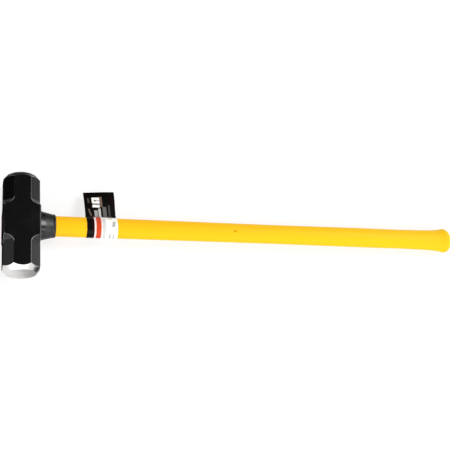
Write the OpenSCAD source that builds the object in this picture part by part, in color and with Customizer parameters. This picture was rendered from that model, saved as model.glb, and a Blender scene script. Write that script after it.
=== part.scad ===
// Long-handled sledgehammer of the ten pound class: a forged double-faced head, bonded with
// epoxy to an oval fibreglass core, under a moulded jacket, a moulded collar and a card label.
// Frame: the hammer lies on one side of its head. The origin is on that side, under the head's
// centre. +X runs along the handle to the butt, +Y along the head and +Z up.
// Lengths are in millimetres. Radii on the handle are half its height along Y.

/* [Head] */
// Width of the head across its flats
head_w = 63.5; // [60:0.5:66]
// Length of the head from one striking face to the other
head_len = 183; // [176:1:190]
// Radius of the flat disc of each striking face
face_r = 26.7; // [24:0.1:28]
// Slope of the ground bevel round each face, measured from the face
bevel_angle = 52; // [45:1:56]
// Width that each long chamfer takes off a flat
chamfer = 17; // [14:0.5:18]
// Distance from the head's middle at which each chamfer starts to run out
chamfer_start = 40.5; // [36:0.5:46]
// Radius of the hollow in which each chamfer runs out
runout_r = 13.8; // [13.4:0.1:16]

/* [Eye] */
// Half height of the eye at its narrowest
eye_r = 17.2; // [16:0.1:18]
// Half height of the eye at its far mouth, where the epoxy locks
eye_far_r = 19.5; // [18.5:0.1:21]
// Depth of the sealing ring in the handle's mouth of the eye
seal_depth = 6; // [4:0.5:9]
// Depth of the epoxy's surface and of the core's end below the far cheek
epoxy_sink = 0.6; // [0.2:0.1:2]

/* [Handle] */
// Overall length, from the head's far cheek to the tip of the butt
total_len = 914; // [860:1:920]
// Thickness of every handle oval along Z, as a share of its height along Y
oval = 0.8; // [0.7:0.01:0.9]
// Half height of the fibreglass core
core_r = 14; // [12:0.1:15]
// Half height of the jacket between the collar and the grip
jacket_r = 18.9; // [18:0.1:20]
// Half height of the jacket at the grip
grip_r = 20.1; // [19.5:0.1:21]
// Half height of the flared butt
butt_r = 25.7; // [23:0.1:27]
// Distance of the locating pin's hole along the handle
pin_hole_x = 396.5; // [300:0.5:460]
// Distance of that hole from the middle of the jacket's flat, along the head
pin_hole_y = -1.5; // [-4:0.5:4]
// Radius of the hole that the mould's locating pin left
pin_hole_r = 1.9; // [1:0.1:3]

/* [Collar] */
// Distance of the collar's free end from the head's centre
collar_end = 59.5; // [54:0.5:66]
// Half height of the collar's foot on the cheek
collar_foot_r = 27.8; // [26:0.1:29.5]
// Half height of the collar at its free end
collar_lip_r = 21.7; // [21:0.1:24]

/* [Label] */
// Distance of the label's near edge from the head's centre
label_x = 114.5; // [80:0.1:300]
// Width of the label along the handle
label_w = 55.8; // [40:0.1:70]
// Thickness of the card
card_t = 0.45; // [0.3:0.05:0.8]
// Thickness of the adhesive between the two leaves of the flag
glue_t = 0.2; // [0.1:0.05:0.4]
// Radius to which the flag droops
droop_r = 200; // [150:10:400]
// Angle through which the flag bends from root to tip
droop_angle = 17; // [8:1:18]

/* [Hidden] */
$fn = 180;

cheek = head_w / 2;
face_y = head_len / 2;
handle_end = total_len - cheek;

// A chamfer's flat and the sharp corner, each as a distance from the head's long axis.
chamfer_n = (head_w - chamfer) / sqrt(2);
corner_n = head_w / sqrt(2);
// The hollow meets the chamfer at this small angle, so its curve crosses the flat.
runout_crease = 5;

// The ground bevel is a cone that is carried out past the corners of the head.
envelope_r = corner_n + 3;
bevel_run = (envelope_r - face_r) * tan(bevel_angle);

// Half height of the eye round the sealing ring, and the depth of the land at its far mouth.
eye_mouth_r = eye_r + 0.3;
eye_land = 1;

jacket_start = cheek + 4.5;
core_end = handle_end - 18;
// The jacket swells to the grip over the first stretch. The grip runs on to the flare.
swell_start = 470;
swell_end = 680;
flare_start = 765;
flare_end = handle_end - 17.5;
flare_taper = 1.6;
flare_steps = 14;
dome_steps = 12;

collar_lip = 1.6;
collar_steps = 8;
collar_hollow = 0.25;

card_gap = 0.05;
flag_root = [jacket_r + 0.3, 0];
flag_tilt = 8;
flag_centre = flag_root - droop_r * [sin(flag_tilt), cos(flag_tilt)];

// Stands a shape drawn about the head's centre at its height over the origin.
module at_head_height() {
    translate([0, 0, cheek]) children();
}

// Turns an outline of [distance along the handle, half height] points into an oval solid.
// It is made as two halves, each squashed by itself.
module oval_turning(outline) {
    at_head_height()
    for (half = [0, 180])
        scale([1, 1, oval])
        rotate([half, 0, 0])
        rotate([0, 90, 0])
        rotate_extrude(angle = 180)
        polygon([for (p = outline) [p[1], p[0]]]);
}

// A straight oval bar along the handle.
module oval_bar(from, to, r) {
    at_head_height()
    translate([from, 0, 0])
    rotate([90, 0, 90])
    linear_extrude(height = to - from)
    oval_disc(r);
}

module oval_disc(r) {
    scale([1, oval]) circle(r = r);
}

// The body that the ground bevels leave: a turned bar along Y with a cone at each end.
module bevel_envelope() {
    rotate([90, 0, 0])
    rotate_extrude()
    polygon([
        [0, -face_y], [face_r, -face_y], [envelope_r, bevel_run - face_y],
        [envelope_r, face_y - bevel_run], [face_r, face_y], [0, face_y]
    ]);
}

// One corner's two chamfers in section, with x out to the corner and y along the head.
module corner_section() {
    for (flip = [0, 1])
        mirror([0, flip]) {
            translate([chamfer_n, chamfer_start]) square([corner_n, face_y]);
            intersection() {
                translate([chamfer_n, 0]) square([corner_n, chamfer_start]);
                translate([
                    chamfer_n + runout_r * cos(runout_crease),
                    chamfer_start + runout_r * sin(runout_crease)
                ])
                circle(r = runout_r);
            }
        }
}

module corner_cuts() {
    for (turn = [45:90:315])
        rotate([0, turn, 0])
        linear_extrude(height = 2 * head_w, center = true)
        corner_section();
}

// The eye, which narrows from both cheeks and is widest at the far one.
module eye() {
    oval_turning([
        [-cheek - 1, 0], [-cheek - 1, eye_far_r], [eye_land - cheek, eye_far_r],
        [0, eye_r], [cheek - seal_depth, eye_mouth_r], [cheek + 1, eye_mouth_r],
        [cheek + 1, 0]
    ]);
}

module head() {
    color("#17171a")
    difference() {
        at_head_height()
        difference() {
            intersection() {
                cube([head_w, head_len, head_w], center = true);
                bevel_envelope();
            }
            corner_cuts();
        }
        eye();
    }
}

// The space that the fibreglass core takes out of the pieces round it.
module core_space() {
    oval_bar(epoxy_sink - cheek, core_end, core_r);
}

// The soft ring that closes the eye round the core while the epoxy is poured.
module eye_seal() {
    color("dimgray")
    difference() {
        oval_bar(cheek - seal_depth, cheek, eye_mouth_r);
        core_space();
    }
}

module eye_epoxy() {
    color("#8a7a52")
    difference() {
        oval_turning([
            [epoxy_sink - cheek, 0], [epoxy_sink - cheek, eye_far_r],
            [eye_land - cheek, eye_far_r], [0, eye_r],
            [cheek - seal_depth, eye_mouth_r], [cheek - seal_depth, 0]
        ]);
        core_space();
    }
}

module handle_core() {
    color("#c9b27a")
    core_space();
}

// Half height of the flare: a gentle taper with a curve that steepens towards the butt.
function flare_r(t) = grip_r + flare_taper * t + (butt_r - grip_r - flare_taper) * pow(t, 7);

// The grip end of the jacket, from the start of its swell to the tip of the domed butt.
module jacket_grip() {
    oval_turning(concat(
        [[swell_start, 0], [swell_start, jacket_r], [swell_end, grip_r]],
        [for (i = [0:flare_steps])
            [flare_start + (flare_end - flare_start) * i / flare_steps,
             flare_r(i / flare_steps)]],
        [for (i = [1:dome_steps])
            [flare_end + (handle_end - flare_end) * sin(90 * i / dome_steps),
             butt_r * cos(90 * i / dome_steps)]]
    ));
}

module handle_jacket() {
    color("#ffd823")
    difference() {
        union() {
            oval_bar(jacket_start, swell_start, jacket_r);
            jacket_grip();
        }
        core_space();
        at_head_height()
        translate([pin_hole_x, pin_hole_y, 0])
        cylinder(r = pin_hole_r, h = head_w);
    }
}

// Half height of the collar's hollow flank, from the foot (t = 0) to the lip (t = 1).
function flank_r(t) = collar_foot_r + (collar_lip_r - collar_foot_r) * t
                      - collar_hollow * sin(180 * t);

module collar_outside() {
    oval_turning(concat(
        [[cheek, 0]],
        [for (i = [0:collar_steps])
            [cheek + (collar_end - collar_lip - cheek) * i / collar_steps,
             flank_r(i / collar_steps)]],
        [for (turn = [30:30:90])
            [collar_end + collar_lip * (sin(turn) - 1),
             collar_lip_r + collar_lip * (cos(turn) - 1)]],
        [[collar_end, 0]]
    ));
}

module overstrike_collar() {
    color("#2b2b2d")
    difference() {
        collar_outside();
        oval_bar(jacket_start, collar_end + 1, jacket_r);
        core_space();
    }
}

// Section across the handle, x along Y and y along Z, drawn out to the label's width.
module along_label() {
    at_head_height()
    translate([label_x, 0, 0])
    rotate([90, 0, 90])
    linear_extrude(height = label_w)
    children();
}

// A curved strip of the flag, between two radii from the centre of its droop.
module flag_strip(inner, outer) {
    reach = 2 * outer;
    intersection() {
        translate(flag_centre)
        difference() {
            circle(r = outer);
            circle(r = inner);
        }
        translate(flag_centre)
        polygon([
            [0, 0],
            reach * [sin(flag_tilt), cos(flag_tilt)],
            reach * [sin(flag_tilt + droop_angle), cos(flag_tilt + droop_angle)]
        ]);
    }
}

module label_card() {
    color("whitesmoke")
    along_label()
    union() {
        difference() {
            oval_disc(jacket_r + card_gap + card_t);
            oval_disc(jacket_r + card_gap);
        }
        flag_strip(droop_r + glue_t / 2, droop_r + glue_t / 2 + card_t);
        flag_strip(droop_r - glue_t / 2 - card_t, droop_r - glue_t / 2);
    }
}

module label_adhesive() {
    color("lightgray")
    along_label()
    difference() {
        flag_strip(droop_r - glue_t / 2, droop_r + glue_t / 2);
        oval_disc(jacket_r + card_gap + card_t);
    }
}

head();
eye_seal();
eye_epoxy();
handle_core();
handle_jacket();
overstrike_collar();
label_card();
label_adhesive();
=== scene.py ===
"""Looks of a long-handled sledgehammer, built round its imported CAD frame.

The CAD nodes give the places and sizes. This file adds the detailed meshes, the finishes, the
camera and the studio. It is laid out as an add-on, and is run as a script.
"""

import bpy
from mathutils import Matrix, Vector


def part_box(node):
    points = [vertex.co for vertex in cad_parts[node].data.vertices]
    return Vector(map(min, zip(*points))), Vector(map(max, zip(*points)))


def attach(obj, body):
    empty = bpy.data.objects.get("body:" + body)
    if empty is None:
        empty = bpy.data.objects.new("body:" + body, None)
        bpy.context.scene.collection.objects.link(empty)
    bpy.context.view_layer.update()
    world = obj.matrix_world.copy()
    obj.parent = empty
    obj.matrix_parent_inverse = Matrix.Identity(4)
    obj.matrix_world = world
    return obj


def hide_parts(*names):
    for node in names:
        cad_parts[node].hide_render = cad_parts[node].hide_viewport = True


bl_info = {
    "name": "Sledgehammer",
    "version": (1, 0, 0),
    "blender": (4, 5, 0),
    "location": "3D View > Sidebar > Sledgehammer",
    "description": "Builds a sledgehammer's head, handle, collar and card label round their CAD solids",
    "category": "Object",
}

from math import acos, asin, cos, dist, hypot, pi, radians, sin, sqrt, tan, tau

import bmesh
import bpy
from mathutils import Matrix, Vector, noise

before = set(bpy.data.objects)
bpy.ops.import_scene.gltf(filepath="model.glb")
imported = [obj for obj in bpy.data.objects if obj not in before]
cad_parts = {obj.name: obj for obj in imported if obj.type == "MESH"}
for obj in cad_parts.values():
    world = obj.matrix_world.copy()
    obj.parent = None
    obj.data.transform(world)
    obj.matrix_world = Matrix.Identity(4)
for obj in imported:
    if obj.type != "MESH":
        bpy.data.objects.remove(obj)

MM = 0.001
BODY = "root"

# Places and sizes that the CAD nodes give. Radii are half heights along Y.
HEAD_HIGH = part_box("head")[1]
CHEEK = HEAD_HIGH.x
FACE = HEAD_HIGH.y
AXIS = HEAD_HIGH.z / 2
JACKET_LOW, JACKET_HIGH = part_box("handle_jacket")
COLLAR_LOW, COLLAR_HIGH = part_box("overstrike_collar")
CORE_LOW, CORE_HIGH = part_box("handle_core")
EPOXY_LOW, EPOXY_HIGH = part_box("eye_epoxy")
SEAL_LOW, SEAL_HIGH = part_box("eye_seal")
CARD_LOW, CARD_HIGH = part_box("label_card")
OVAL = (CORE_HIGH.z - CORE_LOW.z) / (CORE_HIGH.y - CORE_LOW.y)

# Half height of the eye at its narrowest, between its two mouths.
EYE_WAIST = SEAL_HIGH.y - 0.3 * MM


# Settings


def number(name, description, value, **options):
    return bpy.props.FloatProperty(name=name, description=description, default=value, **options)


def length(name, description, millimetres, most=1000):
    """A size that a user may change, given in millimetres and kept in metres."""
    return number(
        name, description, millimetres * MM, min=0, max=most * MM, precision=5,
        subtype="DISTANCE", unit="LENGTH",
    )


def angle(name, description, degrees):
    return number(
        name, description, radians(degrees), min=-pi, max=pi,
        subtype="ANGLE", unit="ROTATION",
    )


def colour(name, description, red, green, blue):
    return bpy.props.FloatVectorProperty(
        name=name, description=description, default=(red, green, blue), size=3, min=0, max=1,
        subtype="COLOR",
    )


def amount(name, description, value):
    return number(name, description, value, min=0, max=10)


class HeadSettings(bpy.types.PropertyGroup):
    """The forged head and the bond in its eye."""

    chamfer: length("Chamfer", "Width that each long chamfer takes off a flat", 17)
    chamfer_start: length("Chamfer start", "Where a chamfer starts to run out", 40.5)
    runout: length("Runout radius", "Radius of the hollow in which a chamfer ends", 13.8)
    runout_crease: angle("Runout crease", "Angle between a chamfer and its hollow", 5)
    face_radius: length("Face radius", "Radius of each striking face", 26.7)
    bevel_slope: angle("Bevel slope", "Slope of the ground bevel, from the face", 52)
    edge: length("Forged edge", "Rounding of the forged edges", 2.2)
    rim: length("Face rim", "Rounding between a face and its bevel", 0.8)
    crown: length("Crown", "How far a face's rim falls behind its middle", 0.25)
    forging: length("Forging marks", "Depth of the hollows left by the forging dies", 0.16)
    enamel: colour("Enamel", "Colour of the black enamel", 0.0014, 0.0014, 0.0017)
    steel: colour("Ground steel", "Colour of the ground faces", 0.76, 0.75, 0.74)
    epoxy: colour("Epoxy", "Colour of the epoxy in the eye", 0.030, 0.021, 0.011)
    fibreglass: colour("Fibreglass", "Colour of the core", 0.55, 0.47, 0.28)
    overspray: colour("Overspray", "Colour of the core's sawn end under stray enamel", 0.022, 0.018, 0.012)
    rubber: colour("Seal rubber", "Colour of the sealing ring", 0.05, 0.05, 0.052)


class HandleSettings(bpy.types.PropertyGroup):
    """The jacket over the core, and the collar at its head end."""

    shank: length("Shank", "Half height of the jacket next to the collar", 18.9)
    grip: length("Grip", "Half height of the jacket at the grip", 20.1)
    swell_start: length("Swell start", "Where the jacket starts to swell", 470)
    swell_end: length("Swell end", "Where the jacket reaches the grip's size", 680)
    flare_start: length("Flare start", "Where the butt's flare starts", 765)
    flare_taper: length("Flare taper", "How much of the flare is a straight taper", 1.6)
    dome: length("Dome", "Depth of the domed butt", 17.5)
    parting_line: length("Parting line", "Height of the mould's parting line", 0.14)
    pin_hole: length("Pin hole", "Radius of the hole left by the locating pin", 1.9)
    pin_place: length("Pin place", "Distance of that hole from the head's middle", 396.5)
    pin_shift: length("Pin shift", "Distance of that hole from the jacket's middle line", 1.5)
    lip: length("Lip", "Half height of the collar at its free end", 21.7)
    lip_width: length("Lip width", "Width of the bead at the collar's free end", 4)
    jacket_near: colour("Jacket near head", "Jacket colour at the head", 0.93, 0.49, 0.0015)
    jacket_far: colour("Jacket at butt", "Jacket colour at the butt", 0.92, 0.535, 0.002)
    collar: colour("Collar", "Colour of the moulded collar", 0.005, 0.005, 0.0058)


class LabelSettings(bpy.types.PropertyGroup):
    """The printed card round the handle and its flag."""

    thickness: length("Card", "Thickness of the card", 0.45)
    glue: length("Adhesive", "Thickness of the adhesive between the leaves", 0.2)
    droop: length("Droop radius", "Radius to which the flag droops", 200)
    tilt: angle("Flag tilt", "Angle of the flag at its root", 8)
    bend: angle("Flag bend", "Angle through which the flag bends", 17)
    twist: length("Twist", "Lift of the flag's corner away from the head", 9)
    skew: amount("Skew", "How far the card leans towards the head, for each unit along it", 0.012)
    peel: angle("Peel", "Where each leaf leaves the wrap, from the flag's side", 40)
    join: length("Join", "Distance from the handle's axis at which the leaves meet", 25)
    white: colour("Card white", "Colour of the bare card", 0.90, 0.88, 0.85)
    black: colour("Print black", "Colour of the black print", 0.003, 0.002, 0.002)
    maroon: colour("Print maroon", "Colour of the maroon band", 0.020, 0.0006, 0.0005)
    red: colour("Print red", "Colour of the red band", 0.56, 0.055, 0.016)
    silver: colour("Print silver", "Colour of the silver bars", 0.42, 0.41, 0.38)
    taupe: colour("Print taupe", "Colour of the taupe shades", 0.17, 0.12, 0.09)


class StageSettings(bpy.types.PropertyGroup):
    """The camera, the floor and the lights."""

    aim: bpy.props.FloatVectorProperty(
        name="Aim", description="The point that the camera looks at, at the head's mid height",
        default=(0.3827, 0.0158, AXIS), size=3, subtype="TRANSLATION", unit="LENGTH",
    )
    distance: length("Distance", "Distance of the camera from its aim", 1583, 5000)
    pitch: angle("Pitch", "Turn of the camera about X", 22.08)
    yaw: angle("Yaw", "Turn of the camera about Y", -18.81)
    roll: angle("Roll", "Turn of the camera about Z", 2.32)
    lens: number("Lens", "Focal length on a 36 mm sensor", 65.76, subtype="DISTANCE_CAMERA")
    floor_radius: length("Floor radius", "Radius of the floor", 30000, 50000)
    floor: colour("Floor", "Colour of the floor", 0.25, 0.25, 0.25)
    floor_glow: amount("Floor glow", "How much the floor glows, as a light table does", 0.76)
    horizon: amount("Horizon", "Brightness of the room near the floor", 1.05)
    ceiling: amount("Ceiling", "Brightness of the room overhead", 0.02)


# Mesh building


def add_object(name, data):
    made = bpy.data.objects.new(name, data)
    bpy.context.scene.collection.objects.link(made)
    return made


class Skin:
    """A mesh grown ring by ring. Every ring has the same number of points, in the same order."""

    def __init__(self):
        self.bm = bmesh.new()
        self.worn = self.bm.verts.layers.float.new("worn")
        self.first = None
        self.last = None

    def ring(self, places, worn=None):
        """Adds a ring, and joins it to the one before. worn says how exposed each point is."""
        made = [self.bm.verts.new(place) for place in places]
        for vertex, share in zip(made, worn or [0.0] * len(made)):
            vertex[self.worn] = share
        if self.last is None:
            self.first = made
        else:
            self.join(self.last, made)
        self.last = made

    def join(self, near, far):
        count = max(len(near), len(far))
        for i in range(count):
            j = (i + 1) % count
            corners = [near[i % len(near)], near[j % len(near)], far[j % len(far)], far[i % len(far)]]
            self.bm.faces.new(list(dict.fromkeys(corners)))

    def pole(self, place):
        """Closes or opens the skin with a single point."""
        self.ring([place])

    def loop(self):
        """Joins the last ring to the first."""
        self.join(self.last, self.first)

    def piece(self, name, crease=radians(40)):
        """Turns the skin into an object with its normals outwards."""
        bmesh.ops.recalc_face_normals(self.bm, faces=self.bm.faces)
        mesh = bpy.data.meshes.new(name)
        self.bm.to_mesh(mesh)
        self.bm.free()
        mesh.shade_smooth()
        mesh.set_sharp_from_angle(angle=crease)
        return add_object(name, mesh)


def oval_point(x, radius, turn):
    return (x, radius * cos(turn), AXIS + OVAL * radius * sin(turn))


def turned(outline, steps=96, shape=oval_point):
    """A skin turned from (place along the axis, radius) points. A point with no radius is a pole.

    Its points are on ovals round the handle, unless shape(place, radius, turn) gives others.
    """
    skin = Skin()
    for x, radius in outline:
        points = steps if radius else 1
        skin.ring([shape(x, radius, tau * i / steps) for i in range(points)])
    if outline[0][1] and outline[-1][1]:
        skin.loop()
    return skin


def arc(centre, radius, start, end, steps):
    """Points of an arc in the plane, its angles in degrees, both ends included."""
    turns = [radians(start + (end - start) * i / steps) for i in range(steps + 1)]
    return [(centre[0] + radius * cos(t), centre[1] + radius * sin(t)) for t in turns]


def spread(start, end, steps):
    """Evenly spaced values, both ends included."""
    return [start + (end - start) * i / steps for i in range(steps + 1)]


def ease(value):
    """A smooth step from 0 to 1."""
    share = min(max(value, 0), 1)
    return share * share * (3 - 2 * share)


def soft_least(a, b, blend):
    """The smaller of two values, with a rounded corner where they cross."""
    mix = min(max(0.5 + 0.5 * (b - a) / blend, 0), 1)
    return b + (a - b) * mix - blend * mix * (1 - mix)


def cut(piece, skin):
    """Cuts a closed skin out of a piece."""
    cutter = skin.piece("cutter")
    boolean = piece.modifiers.new("cut", "BOOLEAN")
    boolean.object = cutter
    boolean.operation = "DIFFERENCE"
    boolean.solver = "EXACT"
    bpy.context.view_layer.update()
    shaped = bpy.data.meshes.new_from_object(
        piece.evaluated_get(bpy.context.evaluated_depsgraph_get())
    )
    piece.modifiers.clear()
    piece.data = shaped
    bpy.data.objects.remove(cutter)


def place(piece, finish, slot, *nodes):
    """Gives a piece its finish, and sets it on the hammer's one body in place of its CAD nodes."""
    piece.data.materials.clear()
    piece.data.materials.append(finish)
    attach(piece, BODY)
    if nodes:
        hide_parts(*nodes)
    return piece


def dress(node, finish):
    """Gives a CAD node that keeps its own shape a better finish."""
    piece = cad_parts[node]
    for material_slot in piece.material_slots:
        material_slot.material = finish


# Shader building


class Wire:
    """An output of a shader node. Sums on wires add the Math nodes that they stand for."""

    def __init__(self, nodes, socket):
        self.nodes = nodes
        self.socket = socket

    def maths(self, operation, *values):
        return self.nodes.node("ShaderNodeMath", {"operation": operation}, dict(enumerate(values)))

    def __add__(self, other):
        return self.maths("ADD", self, other)

    def __radd__(self, other):
        return self.maths("ADD", other, self)

    def __sub__(self, other):
        return self.maths("SUBTRACT", self, other)

    def __rsub__(self, other):
        return self.maths("SUBTRACT", other, self)

    def __mul__(self, other):
        return self.maths("MULTIPLY", self, other)

    def __rmul__(self, other):
        return self.maths("MULTIPLY", other, self)

    def __truediv__(self, other):
        return self.maths("DIVIDE", self, other)

    def __rtruediv__(self, other):
        return self.maths("DIVIDE", other, self)

    def __pow__(self, other):
        return self.maths("POWER", self, other)

    def __abs__(self):
        return self.maths("ABSOLUTE", self)

    def most(self, other):
        return self.maths("MAXIMUM", self, other)

    def fade(self, start, end):
        """Goes smoothly from 0 at start to 1 at end, whichever is the larger."""
        return self.nodes.node(
            "ShaderNodeMapRange",
            {"interpolation_type": "SMOOTHSTEP"},
            {"Value": self, "From Min": start, "From Max": end},
        )


class Nodes:
    """The nodes of a material or a world, all of them made by node()."""

    def __init__(self, owner):
        owner.use_nodes = True
        self.tree = owner.node_tree
        self.tree.nodes.clear()

    def node(self, kind, settings=None, inputs=None, output=0):
        """Makes a node. Its settings come first, then the values or wires of its inputs."""
        made = self.tree.nodes.new(kind)
        for name, value in (settings or {}).items():
            if name == "stops":
                self.set_stops(made.color_ramp, value)
            else:
                setattr(made, name, value)
        for name, value in (inputs or {}).items():
            if isinstance(value, Wire):
                self.tree.links.new(value.socket, made.inputs[name])
            else:
                made.inputs[name].default_value = value
        if isinstance(output, tuple):
            return tuple(Wire(self, made.outputs[name]) for name in output)
        return Wire(self, made.outputs[output]) if len(made.outputs) else made

    def set_stops(self, ramp, stops):
        while len(ramp.elements) > 1:
            ramp.elements.remove(ramp.elements[-1])
        for i, (position, tone) in enumerate(stops):
            stop = ramp.elements[0] if i == 0 else ramp.elements.new(position)
            stop.position = position
            stop.color = (*tone, 1)

    def split(self, vector):
        return self.node("ShaderNodeSeparateXYZ", {}, {0: vector}, ("X", "Y", "Z"))


class Finish(Nodes):
    """A material, with the tools that its looks are made from."""

    def __init__(self, name):
        self.material = bpy.data.materials.new(name)
        super().__init__(self.material)
        self.place = self.node(
            "ShaderNodeVectorMath", {"operation": "SCALE"},
            {"Vector": self.node("ShaderNodeTexCoord", output="Object"), "Scale": 1 / MM},
        )

    def stretch(self, x, y, z):
        """The place on the piece in millimetres, each axis scaled."""
        return self.node(
            "ShaderNodeVectorMath", {"operation": "MULTIPLY"}, {0: self.place, 1: (x, y, z)}
        )

    def along(self):
        """The distance along the handle in millimetres."""
        return self.split(self.place)[0]

    def mottle(self, size, detail=3, roughness=0.55, vector=None):
        """Noise from 0 to 1 about one half, its features about size millimetres across."""
        return self.node(
            "ShaderNodeTexNoise", {},
            {"Vector": vector or self.place, "Scale": 1 / size, "Detail": detail,
             "Roughness": roughness},
        )

    def lines(self, along, size, detail=4):
        """Noise that changes along one value only, such as the rings of a turned face."""
        return self.node(
            "ShaderNodeTexNoise", {"noise_dimensions": "1D"},
            {"W": along, "Scale": 1 / size, "Detail": detail, "Roughness": 0.7},
        )

    def cells(self, size):
        """Distance from the nearest of many scattered points, about size millimetres apart."""
        return self.node(
            "ShaderNodeTexVoronoi", {}, {"Vector": self.place, "Scale": 1 / size}, "Distance"
        )

    def mix(self, share, first, second):
        """A colour that goes from first to second. Each may be a wire or three numbers."""
        first = first if isinstance(first, Wire) else (*first, 1)
        second = second if isinstance(second, Wire) else (*second, 1)
        return self.node(
            "ShaderNodeMix", {"data_type": "RGBA"}, {0: share, 6: first, 7: second}, 2
        )

    def bright(self, tone, level):
        """A colour scaled by a value."""
        tone = tone if isinstance(tone, Wire) else tuple(tone)
        return self.node("ShaderNodeVectorMath", {"operation": "SCALE"}, {0: tone, "Scale": level})

    def bump(self, height):
        """A normal from a height in millimetres."""
        return self.node(
            "ShaderNodeBump", {}, {"Strength": 1.0, "Distance": MM, "Height": height}
        )

    def surface(self, **inputs):
        """Joins the sockets to a Principled shader and ends the material."""
        named = {name.replace("_", " "): value for name, value in inputs.items()}
        shader = self.node("ShaderNodeBsdfPrincipled", {}, named)
        self.node("ShaderNodeOutputMaterial", {}, {"Surface": shader})
        return self.material


# Finishes


def forged_head_finish(settings):
    """Black enamel over the forging, and bare ground steel on the faces and their bevels."""
    finish = Finish("black_enamel_and_ground_steel")
    x, y, z = finish.split(finish.place)
    up = z - AXIS / MM
    reach = (x * x + up * up) ** 0.5
    depth = FACE / MM - abs(y)
    inside_cone = settings.face_radius / MM + depth / tan(settings.bevel_slope) - reach
    ragged = inside_cone + 0.5 * finish.mottle(2.2, 4)
    ground = ragged.fade(0.62, 0.46).most(depth.fade(0.6, 0.45))
    worn = finish.node("ShaderNodeAttribute", {"attribute_name": "worn"}, output="Fac")

    lumps = finish.mottle(9, 2)
    peel = finish.mottle(1.5, 3)
    grit = finish.mottle(0.45, 2)
    pits = finish.cells(5.5).fade(0.0, 0.16)
    # The brows are the edges of the hollows in which the chamfers run out. Scuffs there are fuller and
    # paler than elsewhere. This is real wear with a painted highlight along those edges.
    brow_highlight = abs(y).fade(24, 30) * abs(y).fade(43, 38)
    scuff_and_highlight = (worn * (1.6 + 0.9 * brow_highlight) * finish.mottle(3.5, 5, 0.7)).fade(0.55, 1.0)
    dust = finish.mottle(26, 4).fade(0.45, 0.85)
    enamel = finish.mix(dust * 0.45, settings.enamel, (0.0035, 0.0035, 0.004))
    # Scuffs are dark grey, and pale grey on the brows, where the paler tone is a painted highlight.
    scuff_and_highlight_tone = finish.mix(brow_highlight, (0.045, 0.045, 0.046), (0.26, 0.26, 0.27))
    enamel = finish.mix(scuff_and_highlight * (0.7 + 0.2 * brow_highlight), enamel, scuff_and_highlight_tone)
    enamel_roughness = 0.20 + 0.06 * peel + 0.07 * dust + 0.20 * scuff_and_highlight
    enamel_height = 0.10 * lumps + 0.035 * peel + 0.006 * grit + 0.05 * pits

    rings = finish.lines(reach + 0.25 * finish.mottle(14, 2), 0.55)
    scratches = finish.mottle(2.0, 4, 0.7, finish.stretch(0.25, 1, 3.0))
    stain = finish.mottle(17, 3).fade(0.4, 0.8)
    steel = finish.mix(stain * 0.5, settings.steel, (0.52, 0.50, 0.47))
    steel = finish.bright(steel, 0.86 + 0.26 * rings)
    steel_roughness = 0.20 + 0.14 * rings + 0.10 * stain + 0.06 * scratches
    steel_height = 0.012 * rings + 0.004 * scratches

    return finish.surface(
        Base_Color=finish.mix(ground, enamel, steel),
        Metallic=ground,
        Roughness=enamel_roughness + ground * (steel_roughness - enamel_roughness),
        Normal=finish.bump(enamel_height + ground * (steel_height - enamel_height)),
    )


def jacket_finish(settings):
    """Yellow moulded polypropylene, deeper in tone next to the head."""
    finish = Finish("yellow_moulded_jacket")
    x = finish.along()
    along = x.fade(30, JACKET_HIGH.x / MM)
    cloud = finish.mottle(38, 3, 0.5, finish.stretch(0.25, 1, 1))
    flow = finish.mottle(7, 3, 0.6, finish.stretch(0.12, 1, 1))
    tone = finish.mix(along, settings.jacket_near, settings.jacket_far)
    tone = finish.bright(tone, 0.955 + 0.07 * cloud + 0.02 * flow)
    rub = finish.mottle(11, 5, 0.7).fade(0.60, 0.80) * x.fade(780, 870)
    tone = finish.mix(0.16 * rub, tone, (0.55, 0.36, 0.03))
    grain = finish.mottle(0.9, 3, 0.6)
    stipple = finish.cells(0.8)
    return finish.surface(
        Base_Color=tone,
        Roughness=0.44 + 0.10 * cloud + 0.08 * grain + 0.10 * rub,
        Normal=finish.bump(0.020 * grain + 0.010 * stipple + 0.05 * flow),
        Specular_IOR_Level=0.16,
    )


def collar_finish(settings):
    """Black moulded elastomer with a fine skin, glossy at its foot and duller where it is rubbed."""
    finish = Finish("black_moulded_collar")
    x = finish.along()
    foot = x.fade(43, 39)
    skin = finish.mottle(0.7, 3)
    smear = finish.mottle(6, 4, 0.6, finish.stretch(0.4, 1, 1))
    rub = finish.mottle(4, 5, 0.7).fade(0.55, 0.8)
    tone = finish.mix(smear * 0.5, settings.collar, (0.011, 0.011, 0.013))
    tone = finish.mix(rub * 0.25, tone, (0.06, 0.06, 0.062))
    return finish.surface(
        Base_Color=tone,
        Roughness=0.34 - 0.19 * foot + 0.10 * smear + 0.06 * skin + 0.12 * rub,
        Normal=finish.bump(0.018 * skin + 0.03 * smear),
    )


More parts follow.
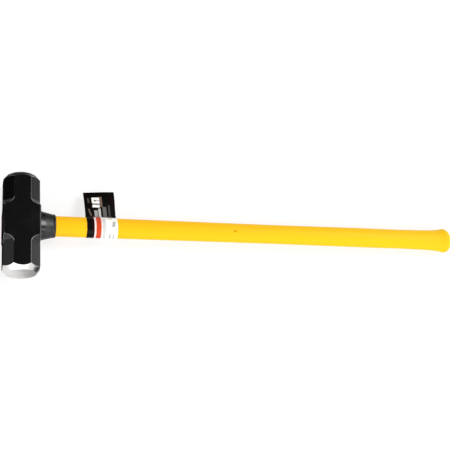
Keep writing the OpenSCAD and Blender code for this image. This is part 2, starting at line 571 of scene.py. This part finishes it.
def card_finish(settings):
    """Printed card: bands round the handle, and plain bars on the flag's dark field."""
    finish = Finish("printed_card")
    x, y, _ = finish.split(finish.place)
    across = x - CARD_LOW.x / MM + settings.skew * y
    width = (CARD_HIGH.x - CARD_LOW.x) / MM
    tip = CARD_HIGH.y / MM
    wobble = finish.mottle(9, 2)
    from_middle = abs(across - width / 2)

    def block(left, right, low, high, corner, lean=0.0):
        """A printed bar with soft corners, in millimetres across and along the flag."""
        place_x = across - lean * (y - low)
        middle = ((left + right) / 2, (low + high) / 2)
        half = ((right - left) / 2 - corner, (high - low) / 2 - corner)
        dx = (abs(place_x - middle[0]) - half[0]).most(0)
        dy = (abs(y - middle[1]) - half[1]).most(0)
        return ((dx * dx + dy * dy) ** 0.5).fade(corner + 0.12, corner - 0.12)

    def printed(tone, corner, marks):
        """Prints marks of (left, right, low, high, lean, colour, strength) over a tone."""
        for left, right, low, high, lean, ink, strength in marks:
            tone = finish.mix(strength * block(left, right, low, high, corner, lean), tone, ink)
        return tone

    bands = finish.node(
        "ShaderNodeValToRGB",
        {"stops": [
            (0.0, settings.black), (0.168, settings.black), (0.180, settings.maroon),
            (0.236, settings.maroon), (0.244, (0.80, 0.66, 0.62)), (0.292, (0.84, 0.70, 0.66)),
            (0.304, settings.red), (0.456, settings.red), (0.468, (0.84, 0.66, 0.60)),
            (0.492, (0.86, 0.76, 0.72)), (0.500, settings.white), (1.0, settings.white),
        ]},
        {"Fac": across / width},
    )
    print_grey = (0.34, 0.34, 0.335)
    print_tan = (0.62, 0.44, 0.17)
    bands = printed(bands, 0.8, (
        (28.0, 34.0, -20, 14, 0, print_grey, 0.50),
        (45.0, 50.5, -3.5, 7.5, 0.15, print_grey, 0.85),
        (40.5, 43.5, -20, -15, 0, print_grey, 0.85),
        (47.5, 50.0, -20, -15, 0, print_grey, 0.85),
        (39.5, 46.5, 12.5, 16.5, 0, print_tan, 0.60),
    ))

    field = finish.mix(0.25 * wobble, settings.black, (0.007, 0.006, 0.006))
    field = finish.mix(0.5 * block(48.5, 52.0, 50, 66, 1.0), field, settings.maroon)
    field = printed(field, 1.2, (
        (6.0, 9.5, 51, 63, -0.03, settings.taupe, 0.45),
        (9.5, 12.5, 23, 38, -0.27, settings.taupe, 0.9),
        (26.0, 33.0, 43, 65, -0.03, settings.taupe, 0.9),
        (14.0, 28.0, 50, 63.5, -0.03, settings.white, 1.0),
        (17.5, 21.8, 54.8, 57.8, -0.03, settings.black, 0.95),
        (21.0, 28.6, 55.4, 56.9, -0.03, settings.taupe, 0.8),
        (14.3, 27.8, 41.5, 47.6, -0.03, settings.white, 1.0),
        (17.2, 23.6, 20.5, 35.5, -0.03, settings.silver, 0.85),
        (25.0, 29.4, 18, 39.5, -0.03, settings.white, 0.6),
        (33.0, 40.0, 18, 43, -0.03, settings.silver, 0.30),
        (43.2, 47.2, 18, 46.5, -0.03, settings.silver, 0.12),
    ))
    border = from_middle.fade(width / 2 - 1.9, width / 2 - 1.5).most(y.fade(tip - 2.0, tip - 1.6))
    field = finish.mix(border, field, (0.002, 0.002, 0.002))

    ends = 19.6 + 0.3 * wobble - across * (1.6 / width)
    flagged = (y - ends).fade(-0.12, 0.12)
    tone = finish.mix(flagged, bands, field)
    fibres = finish.mottle(0.35, 4, 0.7)
    edge = from_middle.fade(width / 2 - 0.5, width / 2) * finish.mottle(1.3, 4)
    tone = finish.mix(0.45 * edge.fade(0.45, 0.8), tone, (0.45, 0.43, 0.40))
    return finish.surface(
        Base_Color=tone,
        Roughness=0.27 + 0.10 * fibres + 0.18 * edge,
        Normal=finish.bump(0.008 * fibres + 0.02 * wobble),
        Specular_IOR_Level=0.09,
    )


def mottled_finish(name, size, detail, tones, roughness, height):
    """A plain material that clouds between two tones, with a fine uneven surface."""
    finish = Finish(name)
    cloud = finish.mottle(size, detail)
    return finish.surface(
        Base_Color=finish.mix(cloud, *tones),
        Roughness=roughness + 0.2 * cloud,
        Normal=finish.bump(height * cloud),
    )


def glue_finish():
    tones = ((0.62, 0.60, 0.52), (0.45, 0.42, 0.33))
    return mottled_finish("label_glue", 2.5, 4, tones, 0.35, 0.03)


def epoxy_finish(settings):
    """Dark amber epoxy with a few bubbles and a glossy, slightly sunken surface."""
    finish = Finish("dark_amber_epoxy")
    cloud = finish.mottle(5, 4)
    bubbles = finish.cells(3.1).fade(0.22, 0.12)
    tone = finish.mix(cloud, settings.epoxy, (0.014, 0.009, 0.004))
    tone = finish.mix(0.6 * bubbles, tone, (0.07, 0.055, 0.03))
    return finish.surface(
        Base_Color=tone,
        Roughness=0.14 + 0.16 * cloud,
        Normal=finish.bump(0.05 * cloud - 0.10 * bubbles),
        Coat_Weight=0.5,
    )


def fibreglass_finish(settings):
    """Pultruded rod: bundled glass fibres, their sawn ends darkened by the head's enamel."""
    finish = Finish("pultruded_fibreglass")
    sawn = finish.along().fade(-29, -30.5)
    bundles = finish.cells(1.3)
    streak = finish.mottle(1.1, 4, 0.6, finish.stretch(0.02, 1, 1))
    tone = finish.mix(bundles.fade(0.1, 0.6), settings.fibreglass, (0.30, 0.23, 0.11))
    tone = finish.mix(0.5 * streak, tone, (0.68, 0.62, 0.46))
    sprayed = sawn * (1 - 0.06 * bundles.fade(0.1, 0.6))
    return finish.surface(
        Base_Color=finish.mix(sprayed, tone, settings.overspray),
        Roughness=0.45 + 0.25 * streak,
        Normal=finish.bump(0.08 * bundles + 0.03 * streak),
    )


def rubber_finish(settings):
    tones = (settings.rubber, (0.09, 0.09, 0.09))
    return mottled_finish("seal_rubber", 0.8, 3, tones, 0.6, 0.04)


def floor_finish(settings):
    finish = Finish("studio_floor")
    cloud = finish.mottle(600, 2)
    return finish.surface(
        Base_Color=finish.bright(settings.floor, 0.985 + 0.03 * cloud),
        Roughness=0.85,
        Specular_IOR_Level=0.0,
        Emission_Color=(1, 1, 1, 1),
        Emission_Strength=settings.floor_glow,
    )


def reflector_finish(name, level, far_level=None):
    """A card's plain glow. It may change to far_level from left to right of the head's face."""
    finish = Finish(name)
    glow = (level, level, level, 1)
    if far_level is not None:
        share = finish.along().fade(-18, 26)
        glow = finish.mix(share, glow[:3], (far_level,) * 3)
    return finish.surface(
        Base_Color=(0, 0, 0, 1),
        Roughness=1.0,
        Specular_IOR_Level=0.0,
        Emission_Color=glow,
        Emission_Strength=1.0,
    )


# Head


class HeadShape:
    """The forged head's section and lengthwise profile, worked out in metres."""

    FLAT_STEPS = 18
    ARC_STEPS = 4
    CHAMFER_STEPS = 12
    # Depth below a face at which the rows that follow its scalloped bevel have become straight.
    STRAIGHT_DEPTH = 15 * MM
    # Length of the stretch in which the runout's end blends into the square waist.
    SHOULDER = 2.4 * MM

    def __init__(self, settings):
        self.settings = settings
        self.edge = settings.edge
        self.full_cut = (2 * CHEEK - settings.chamfer) / sqrt(2)
        crease = settings.runout_crease
        self.hollow_n = self.full_cut + settings.runout * cos(crease)
        self.hollow_y = settings.chamfer_start + settings.runout * sin(crease)
        # The cut at which the chamfer is lost in the rounded corner.
        inner = CHEEK - self.edge
        self.lost_cut = sqrt(2) * inner + self.edge
        self.last_turn = acos((self.hollow_n - self.lost_cut) / settings.runout)
        self.last_y = self.hollow_y - settings.runout * sin(self.last_turn)

    def cut_at(self, y):
        """Distance of the corner cut from the head's axis at a distance y from its middle."""
        if y >= self.settings.chamfer_start:
            return self.full_cut
        if y >= self.last_y:
            rise = sqrt(self.settings.runout ** 2 - (self.hollow_y - y) ** 2)
            return self.hollow_n - rise
        return self.lost_cut + (self.last_y - y) * tan(self.last_turn)

    def section(self, y):
        """The (x, z) points round the head at y, and how exposed each one is to wear."""
        inner = CHEEK - self.edge
        reach = sqrt(2) * (self.cut_at(y) - self.edge) - inner
        half = soft_least(reach, inner, 1.2 * MM) if reach > inner - 4 * MM else reach
        first = arc((inner, half), self.edge, 0, 45, self.ARC_STEPS)
        second = arc((half, inner), self.edge, 45, 90, self.ARC_STEPS)
        flat = [(CHEEK, share * half) for share in spread(-1, 1, self.FLAT_STEPS)[:-1]]
        slant = [
            tuple(a + (b - a) * share for a, b in zip(first[-1], second[0]))
            for share in spread(0, 1, self.CHAMFER_STEPS)[:-1]
        ]
        quarter = flat + first[:-1] + slant + second[:-1]
        edge_worn = [sin(pi * i / self.ARC_STEPS) for i in range(self.ARC_STEPS)]
        worn = [0.0] * len(flat) + edge_worn + [0.0] * len(slant) + edge_worn
        points = []
        for turn in range(4):
            points += quarter
            quarter = [(-b, a) for a, b in quarter]
        return points, worn * 4

    def end_rows(self):
        """Rows from a striking face inwards, each a list of (x, z, depth) with its wear."""
        settings = self.settings
        rim = settings.rim
        slope = settings.bevel_slope
        outline, worn = self.section(FACE)
        reach = [hypot(x, z) for x, z in outline]
        plain = [0.0] * len(outline)

        def round_row(radius, depth):
            return [(x / r * radius, z / r * radius, depth) for (x, z), r in zip(outline, reach)]

        tangent = settings.face_radius - rim * tan(slope / 2)
        for share in spread(0.1, 1, 9):
            radius = share * tangent
            yield round_row(radius, settings.crown * share * share), plain
        for turn in spread(0, slope, 4)[1:]:
            radius = tangent + rim * sin(turn)
            depth = settings.crown + rim * (1 - cos(turn))
            yield round_row(radius, depth), plain
        rim_radius, rim_depth = radius, depth

        scallop = [(r - settings.face_radius) * tan(slope) for r in reach]
        brink = 0.35 * MM
        for share in spread(0, 1, 8)[1:]:
            row = []
            for (x, z), r, deep in zip(outline, reach, scallop):
                run = share * (1 - brink / (r - rim_radius))
                radius = rim_radius + run * (r - rim_radius)
                row.append((x / r * radius, z / r * radius, rim_depth + run * (deep - rim_depth)))
            yield row, plain
        sunk = 0.07 * MM
        yield [
            (x * (1 - sunk / r), z * (1 - sunk / r), deep)
            for (x, z), r, deep in zip(outline, reach, scallop)
        ], plain
        for share in spread(0, 1, 4):
            yield [
                (x, z, (deep + brink) * (1 - share) + self.STRAIGHT_DEPTH * share)
                for (x, z), deep in zip(outline, scallop)
            ], worn

    def middle_places(self):
        """Distances from the head's middle of the plain rows, from a bevel inwards."""
        settings = self.settings
        chamfer = spread(FACE - self.STRAIGHT_DEPTH, settings.chamfer_start, 14)[1:]
        turns = spread(settings.runout_crease, self.last_turn, 16)[1:]
        hollow = [self.hollow_y - settings.runout * sin(turn) for turn in turns]
        shoulder_end = self.last_y - self.SHOULDER
        shoulder = spread(self.last_y, shoulder_end, 8)[1:]
        waist = spread(shoulder_end, 0, 12)[1:]
        return chamfer + hollow + shoulder + waist

    def forged(self, x, y, z, depth_share):
        """Moves a point inwards by the shallow hollows that the dies leave."""
        point = Vector((x, y, z))
        broad = noise.noise(point / (24 * MM))
        tight = noise.noise(point / (9 * MM) + Vector((7, 3, 5)))
        lift = self.settings.forging * (0.5 + 0.38 * broad + 0.22 * tight) * depth_share
        pull = 1 - max(lift, 0) / hypot(x, z)
        return (x * pull, y, AXIS + z * pull)

    def skin(self):
        skin = Skin()
        ends = list(self.end_rows())
        middle = self.middle_places()

        def end(side):
            """One end of the head. The dies leave no marks on its ground rows, which have no wear."""
            for row, worn in ends if side < 0 else reversed(ends):
                body = any(worn)
                places = [
                    self.forged(x, side * (FACE - depth), z,
                                ease((depth - 8 * MM) / (8 * MM)) if body else 0)
                    for x, z, depth in row
                ]
                skin.ring(places, worn)

        def plain(y):
            """A straight row. The dies' marks fade out on the cheeks, round the eye."""
            points, worn = self.section(abs(y))
            eye = ease((abs(y) - 24 * MM) / (6 * MM))
            places = []
            for x, z in points:
                cheek = ease((CHEEK - abs(x)) / (4 * MM))
                places.append(self.forged(x, y, z, max(eye, cheek)))
            skin.ring(places, worn)

        skin.pole((0, -FACE, AXIS))
        end(-1)
        for y in middle:
            plain(-y)
        for y in reversed(middle[:-1]):
            plain(y)
        end(1)
        skin.pole((0, FACE, AXIS))
        return skin


def eye_cutter():
    """The tapered eye, with a rounded edge at each mouth."""
    far = EPOXY_HIGH.y
    near = SEAL_HIGH.y
    lip = 0.8 * MM
    beyond = 2 * MM
    outline = [(-CHEEK - beyond, 0), (-CHEEK - beyond, far + lip)]
    outline += arc((-CHEEK + lip, far + lip), lip, 180, 270, 5)
    outline += [(-CHEEK + 1.2 * MM, far), (0, EYE_WAIST), (SEAL_LOW.x, near)]
    outline += arc((CHEEK - lip, near + lip), lip, 270, 360, 5)
    outline += [(CHEEK + beyond, near + lip), (CHEEK + beyond, 0)]
    return turned(outline, 96)


class SLEDGE_OT_head(bpy.types.Operator):
    """Builds the forged head with its ground faces, runout hollows and tapered eye"""

    bl_idname = "sledge.head"
    bl_label = "Forged head"

    def execute(self, context):
        settings = context.scene.sledge_head
        piece = HeadShape(settings).skin().piece("forged_head", radians(32))
        cut(piece, eye_cutter())
        place(piece, forged_head_finish(settings), "head_enamel", "head")
        return {"FINISHED"}


class SLEDGE_OT_eye_bond(bpy.types.Operator):
    """Builds the poured epoxy in the eye, and finishes the core and the sealing ring"""

    bl_idname = "sledge.eye_bond"
    bl_label = "Eye bond"

    def execute(self, context):
        settings = context.scene.sledge_head
        far, core = EPOXY_HIGH.y, CORE_HIGH.y
        surface = EPOXY_LOW.x
        climb = 0.45 * MM
        sag = 0.25 * MM
        ripple_height = 0.12 * MM
        outline = [(EPOXY_HIGH.x, core), (surface, core)]
        for share in spread(0, 1, 10)[1:]:
            level = surface + sag * sin(pi * share) - climb * share ** 5
            outline.append((level, core + share * (far - core)))
        outline += [(-CHEEK + 1 * MM, far), (0, EYE_WAIST), (EPOXY_HIGH.x, SEAL_HIGH.y)]

        def poured(x, radius, turn):
            """The fill, rippled where its surface is free."""
            ripple = noise.noise(Vector((4 * cos(turn), 4 * sin(turn), radius / (3 * MM))))
            free = core < radius < far and x < surface + MM
            return oval_point(x + (ripple_height * ripple if free else 0), radius, turn)

        piece = turned(outline, 96, poured).piece("eye_epoxy_fill")
        place(piece, epoxy_finish(settings), "epoxy", "eye_epoxy")
        dress("handle_core", fibreglass_finish(settings))
        dress("eye_seal", rubber_finish(settings))
        return {"FINISHED"}


# Handle


def jacket_outline(settings):
    """The jacket's outside from the collar to the tip of the butt."""
    tip = JACKET_HIGH.x
    butt = JACKET_HIGH.y
    flare_end = tip - settings.dome
    swell = settings.swell_end - settings.swell_start
    outline = [(x, settings.shank) for x in spread(JACKET_LOW.x, settings.swell_start, 34)]
    for x in spread(settings.swell_start, settings.swell_end, 16)[1:]:
        share = (x - settings.swell_start) / swell
        outline.append((x, settings.shank + (settings.grip - settings.shank) * share))
    outline += [(x, settings.grip) for x in spread(settings.swell_end, settings.flare_start, 6)[1:]]
    curve = butt - settings.grip - settings.flare_taper
    for share in spread(0, 1, 26)[1:]:
        x = settings.flare_start + (flare_end - settings.flare_start) * share
        outline.append((x, settings.grip + settings.flare_taper * share + curve * share ** 7))
    dome = arc((0, 0), 1, 90, 0, 22)[1:-1]
    outline += [(flare_end + settings.dome * a, butt * b) for a, b in dome]
    return outline + [(tip, 0)]


class SLEDGE_OT_jacket(bpy.types.Operator):
    """Builds the moulded jacket with its swelling grip, flared butt and parting line"""

    bl_idname = "sledge.jacket"
    bl_label = "Handle jacket"

    def execute(self, context):
        settings = context.scene.sledge_handle
        turns = self.turns(settings)
        skin = Skin()
        bore = CORE_HIGH.y
        skin.pole((CORE_HIGH.x, 0, AXIS))
        for x in [CORE_HIGH.x, *reversed(spread(JACKET_LOW.x, CORE_HIGH.x, 24)[:-1])]:
            skin.ring([oval_point(x, bore, turn) for turn, ridge in turns])
        for x, radius in jacket_outline(settings)[:-1]:
            skin.ring([
                oval_point(x, radius + ridge * ease(radius / settings.shank), turn)
                for turn, ridge in turns
            ])
        skin.pole((JACKET_HIGH.x, 0, AXIS))
        piece = skin.piece("jacket_shell", radians(35))
        cut(piece, self.pin_hole(settings))
        place(piece, jacket_finish(settings), "yellow_jacket", "handle_jacket")
        return {"FINISHED"}

    def turns(self, settings):
        """Angles round the jacket with the parting line's height at each, finer at that line."""
        near = [(0.0, 1.0), (0.018, 1.0), (0.034, 0.0), (0.060, 0.0)]
        band = near[-1][0]
        sides = []
        for middle in (0.0, pi):
            sides += [(middle + turn, level) for turn, level in near]
            sides += [(middle - turn, level) for turn, level in near[1:]]
        for start in (0.0, pi):
            inner = spread(start + band, start + pi - band, 42)[1:-1]
            sides += [(turn, 0.0) for turn in inner]
        return [(turn, settings.parting_line * level) for turn, level in sorted(sides)]

    def pin_hole(self, settings):
        """The tapered hole of the mould's locating pin, with a rounded rim."""
        radius = settings.pin_hole
        surface = AXIS + OVAL * settings.shank
        floor = CORE_HIGH.z + 0.02 * MM
        lip = 0.5 * MM
        top = surface + 3 * MM
        profile = [(floor, 0), (floor, radius * 0.93), (surface - lip, radius)]
        profile += [(surface - lip + lip * sin(t), radius + lip * (1 - cos(t)))
                    for t in spread(0, pi / 2, 4)[1:]]
        profile += [(top, radius + lip * 1.2), (top, 0)]

        def upright(z, reach, turn):
            return (settings.pin_place + reach * cos(turn), reach * sin(turn) - settings.pin_shift, z)

        return turned(profile, 28, upright)


class SLEDGE_OT_collar(bpy.types.Operator):
    """Builds the moulded collar with its hollow flank and beaded lip"""

    bl_idname = "sledge.collar"
    bl_label = "Overstrike collar"

    def execute(self, context):
        settings = context.scene.sledge_handle
        foot_x, end = COLLAR_LOW.x, COLLAR_HIGH.x
        foot = COLLAR_HIGH.y
        bead = end - settings.lip_width
        neck = settings.lip - 0.1 * MM
        foot_round = 0.7 * MM
        hollow = 0.25 * MM
        line_height = 0.12 * MM
        outline = [(foot_x, settings.shank), (foot_x, foot - foot_round)]
        outline += arc((foot_x + foot_round, foot - foot_round), foot_round, 180, 110, 4)[1:]
        start = outline[-1]
        for share in spread(0, 1, 16)[1:]:
            radius = start[1] + (neck - start[1]) * share - hollow * sin(pi * share)
            outline.append((start[0] + (bead - start[0]) * share, radius))
        rounding = 2 * MM
        outline += [(bead + 0.35 * MM, neck + 0.12 * MM), (bead + 0.8 * MM, settings.lip)]
        outline += arc((end - rounding, settings.lip - rounding), rounding, 90, 0, 6)
        outline += arc((end - 0.4 * MM, settings.shank + 0.4 * MM), 0.4 * MM, 0, -90, 3)

        def moulded(x, radius, turn):
            """The flank with a faint parting line on each side."""
            line = max(0.0, 1 - abs(sin(turn)) / 0.05) if radius > settings.shank + MM else 0.0
            return oval_point(x, radius + line_height * line, turn)

        piece = turned(outline, 180, moulded).piece("moulded_collar", radians(35))
        place(piece, collar_finish(settings), "black_collar", "overstrike_collar")
        return {"FINISHED"}


# Label


class CardShape:
    """The card's middle line in the plane across the handle, as (y, z) points from its axis."""

    def __init__(self, handle, settings):
        self.settings = settings
        self.wrap = handle.shank + 0.05 * MM + settings.thickness / 2
        root = handle.shank + 0.3 * MM
        self.centre = (
            root - settings.droop * sin(settings.tilt),
            -settings.droop * cos(settings.tilt),
        )

    def flag_point(self, radius, turn):
        return (self.centre[0] + radius * sin(turn), self.centre[1] + radius * cos(turn))

    def join_turn(self):
        return asin((self.settings.join - self.centre[0]) / self.settings.droop)

    def leaf(self, side):
        """One leaf from the wrap to the flag's tip. side is 1 for the upper leaf, -1 below."""
        settings = self.settings
        peel = side * settings.peel
        start = (self.wrap * cos(peel), OVAL * self.wrap * sin(peel))
        leaving = Vector((abs(sin(peel)), -side * OVAL * cos(peel))).normalized()
        radius = settings.droop + side * (settings.glue + settings.thickness) / 2
        turn = self.join_turn()
        end = self.flag_point(radius, turn)
        arriving = Vector((cos(turn), -sin(turn)))
        gap = dist(start, end)
        points = []
        for t in spread(0, 1, 12)[:-1]:
            a, b = 2 * t ** 3 - 3 * t ** 2 + 1, t ** 3 - 2 * t ** 2 + t
            c, d = 3 * t ** 2 - 2 * t ** 3, t ** 3 - t ** 2
            points.append(tuple(
                a * start[i] + b * gap * leaving[i] + c * end[i] + d * gap * arriving[i]
                for i in (0, 1)
            ))
        last = settings.tilt + settings.bend
        return points + [self.flag_point(radius, t) for t in spread(turn, last, 30)]

    def line(self):
        """The whole card from the upper leaf's tip, round the handle, to the lower leaf's tip."""
        settings = self.settings
        round_handle = [
            (self.wrap * cos(turn), OVAL * self.wrap * sin(turn))
            for turn in spread(settings.peel, tau - settings.peel, 96)[1:-1]
        ]
        return list(reversed(self.leaf(1))) + round_handle + self.leaf(-1)


def sheet_skin(line, thickness, places, skew, wave):
    """A thin sheet that follows a line across the handle, between the first and last place."""
    skin = Skin()
    sides = []
    for i, (y, z) in enumerate(line):
        before = line[max(i - 1, 0)]
        after = line[min(i + 1, len(line) - 1)]
        along = Vector((after[0] - before[0], after[1] - before[1])).normalized()
        sides.append((-along[1] * thickness / 2, along[0] * thickness / 2))
    upper = [(y + a, z + b) for (y, z), (a, b) in zip(line, sides)]
    lower = [(y - a, z - b) for (y, z), (a, b) in zip(line, sides)]
    outline = upper + list(reversed(lower))
    for x in places:
        skin.ring([(x - skew * y, y, AXIS + z + wave(x, y)) for y, z in outline])
    for ring in (skin.first, skin.last):
        for i in range(len(line) - 1):
            skin.bm.faces.new([ring[i], ring[i + 1], ring[-i - 2], ring[-i - 1]])
    return skin


class SLEDGE_OT_label(bpy.types.Operator):
    """Builds the card wrapped round the handle, and the adhesive between its two leaves"""

    bl_idname = "sledge.label"
    bl_label = "Card label"

    def execute(self, context):
        settings = context.scene.sledge_label
        shape = CardShape(context.scene.sledge_handle, settings)
        middle = (CARD_LOW.x + CARD_HIGH.x) / 2
        half = (CARD_HIGH.x - CARD_LOW.x) / 2

        def wave(x, y):
            """The flag's twist, which lifts its far corner, and a slight curl across it."""
            out = ease((y - settings.join) / (CARD_HIGH.y - settings.join))
            aside = (x - middle) / half
            twist = settings.twist * (1 + aside) / 2
            return out * (twist + 0.5 * MM * sin(2.2 * aside + 0.6) - 0.35 * MM * aside * aside)

        places = spread(CARD_LOW.x, CARD_HIGH.x, 28)
        card = sheet_skin(shape.line(), settings.thickness, places, settings.skew, wave)
        place(card.piece("label_wrap", radians(35)), card_finish(settings),
              "printed_card", "label_card")

        inset = 0.6 * MM
        turn = shape.join_turn()
        last = settings.tilt + settings.bend - inset / settings.droop
        film = [shape.flag_point(settings.droop, t) for t in spread(turn, last, 24)]
        places = spread(CARD_LOW.x + inset, CARD_HIGH.x - inset, 14)
        glue = sheet_skin(film, settings.glue, places, settings.skew, wave)
        place(glue.piece("label_glue_film"), glue_finish(), "label_glue", "label_adhesive")
        return {"FINISHED"}


# Studio


# Each distant softbox's name, the direction it shines from, its strength and its width in degrees.
SOFTBOXES = (
    ("front_softbox", (0.05, -0.80, 0.60), 1.3, 50),
    ("right_softbox", (0.60, 0.24, 0.76), 2.2, 30),
    ("rim_softbox", (0.48, -0.46, 0.74), 0.35, 16),
    ("left_softbox", (-0.72, -0.55, 0.42), 0.8, 50),
)
# How brightly each shade of reflector glows. The fading one changes along the handle, from a lit floor to
# a painted shade of the floor.
SHADES = {"dark": (0.0,), "grey": (0.5,), "bright": (0.95,), "fading_shade": (1.0, 0.4)}
# Each reflector's name, two opposite corners in metres, and its shade.
REFLECTORS = (
    ("back_flag", (-0.8, 0.3, 0), (0.8, 0.3, 0.4), "dark"),
    ("upper_left_flag", (-0.25, 0.09, -0.02), (-0.25, 0.7, 0.3), "dark"),
    ("lower_left_flag", (-0.25, -0.12, -0.02), (-0.25, 0.09, 0.3), "grey"),
    ("upper_right_flag", (0.2, 0.1, 0.005), (0.2, 0.6, 0.3), "grey"),
    # The dark cards lying on the floor next to the head are painted shadow. Reflections in the head see
    # them in place of the floor's shade.
    ("near_right_floor_shadow", (0.05, -0.3, 0.004), (0.4, -0.088, 0.008), "dark"),
    # This card is a bright patch of floor whose glow falls off to the right. It is a painted shade seen in
    # the face's reflection.
    ("near_face_floor_shade", (-0.025, -0.3, 0.003), (0.05, -0.094, 0.003), "fading_shade"),
    ("left_floor_shadow_card", (-0.3, -0.08, 0.001), (-0.032, 0.14, 0.001), "dark"),
    ("back_floor_shadow", (-0.12, 0.1, 0.002), (0.08, 0.3, 0.004), "dark"),
    ("far_face_card", (-0.024, 0.1, 0), (0.024, 0.1, 0.046), "grey"),
    ("bounce_card", (0.068, -0.09, 0.02), (0.068, -0.02, 0.075), "bright"),
)


def softbox(name, direction, strength, width):
    light = bpy.data.lights.new(name, "SUN")
    light.energy = strength
    light.angle = radians(width)
    made = add_object(name, light)
    made.rotation_mode = "QUATERNION"
    made.rotation_quaternion = Vector(direction).to_track_quat("Z", "Y")


def reflector(name, low, high, finish):
    """A flat card between two corners. Only reflections show it."""
    (x0, y0, z0), (x1, y1, z1) = low, high
    if x0 == x1 or y0 == y1:
        corners = [(x0, y0, z0), (x1, y1, z0), (x1, y1, z1), (x0, y0, z1)]
    else:
        corners = [(x0, y0, z0), (x1, y0, z1), (x1, y1, z1), (x0, y1, z0)]
    mesh = bpy.data.meshes.new(name)
    mesh.from_pydata(corners, [], [(0, 1, 2, 3)])
    mesh.materials.append(finish)
    made = add_object(name, mesh)
    made.visible_camera = False
    made.visible_diffuse = False
    made.visible_transmission = False
    made.visible_shadow = False


class SLEDGE_OT_stage(bpy.types.Operator):
    """Sets up the camera, the pale floor and the soft studio light"""

    bl_idname = "sledge.stage"
    bl_label = "Studio"

    def execute(self, context):
        settings = context.scene.sledge_stage
        self.camera(context.scene, settings)
        self.floor(settings)
        self.room(context.scene, settings)
        for lamp in SOFTBOXES:
            softbox(*lamp)
        shades = {name: reflector_finish(name + "_flag", *glow) for name, glow in SHADES.items()}
        for name, low, high, shade in REFLECTORS:
            reflector(name, low, high, shades[shade])
        context.scene.view_settings.view_transform = "Standard"
        return {"FINISHED"}

    def camera(self, scene, settings):
        camera = bpy.data.cameras.new("camera")
        camera.lens = settings.lens
        camera.sensor_width = 36
        made = add_object("camera", camera)
        turn = (
            Matrix.Rotation(settings.pitch, 4, "X")
            @ Matrix.Rotation(settings.yaw, 4, "Y")
            @ Matrix.Rotation(settings.roll, 4, "Z")
        )
        made.matrix_world = (
            Matrix.Translation(settings.aim) @ turn @ Matrix.Translation((0, 0, settings.distance))
        )
        scene.camera = made

    def floor(self, settings):
        """A wide floor that meets the head's lower side and the underside of the butt."""
        touch = JACKET_HIGH.x - bpy.context.scene.sledge_handle.dome
        butt_low = AXIS - OVAL * JACKET_HIGH.y
        slope = butt_low / (touch - CHEEK)
        outline = [(0, min(reach, settings.floor_radius)) for reach in (0, 0.5, 1.5, 5, 14, 30)]

        def tilted(_, reach, turn):
            return (CHEEK + reach * cos(turn), reach * sin(turn), slope * reach * cos(turn))

        floor = turned(outline, 64, tilted).piece("floor")
        floor.data.materials.append(floor_finish(settings))
        floor.visible_diffuse = False

    def room(self, scene, settings):
        """A world that is bright near the floor and dark overhead, as a studio's ceiling is."""
        world = bpy.data.worlds.new("room")
        scene.world = world
        nodes = Nodes(world)
        height = nodes.split(nodes.node("ShaderNodeTexCoord", output="Generated"))[2]
        glow = nodes.node(
            "ShaderNodeValToRGB",
            {"stops": [
                (0.5 + 0.5 * sin(radians(elevation)), (level, level, level))
                for elevation, level in ((20, settings.horizon), (42, settings.ceiling))
            ]},
            {"Fac": 0.5 + 0.5 * height},
        )
        light = nodes.node("ShaderNodeBackground", {}, {"Color": glow})
        nodes.node("ShaderNodeOutputWorld", {}, {"Surface": light})


# Add-on


OPERATORS = (
    SLEDGE_OT_stage,
    SLEDGE_OT_head,
    SLEDGE_OT_eye_bond,
    SLEDGE_OT_jacket,
    SLEDGE_OT_collar,
    SLEDGE_OT_label,
)
SETTINGS = {
    "sledge_head": HeadSettings,
    "sledge_handle": HandleSettings,
    "sledge_label": LabelSettings,
    "sledge_stage": StageSettings,
}


class SLEDGE_PT_panel(bpy.types.Panel):
    """Lists the sledgehammer's steps"""

    bl_idname = "SLEDGE_PT_panel"
    bl_label = "Sledgehammer"
    bl_space_type = "VIEW_3D"
    bl_region_type = "UI"
    bl_category = "Sledgehammer"

    def draw(self, context):
        for operator in OPERATORS:
            self.layout.operator(operator.bl_idname)


CLASSES = (*SETTINGS.values(), *OPERATORS, SLEDGE_PT_panel)


def register():
    for made in CLASSES:
        bpy.utils.register_class(made)
    for name, group in SETTINGS.items():
        setattr(bpy.types.Scene, name, bpy.props.PointerProperty(type=group))


def unregister():
    for name in SETTINGS:
        delattr(bpy.types.Scene, name)
    for made in reversed(CLASSES):
        bpy.utils.unregister_class(made)


def main():
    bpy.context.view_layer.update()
    register()
    bpy.ops.sledge.stage()
    bpy.ops.sledge.head()
    bpy.ops.sledge.eye_bond()
    bpy.ops.sledge.jacket()
    bpy.ops.sledge.collar()
    bpy.ops.sledge.label()


if __name__ == "__main__":
    main()
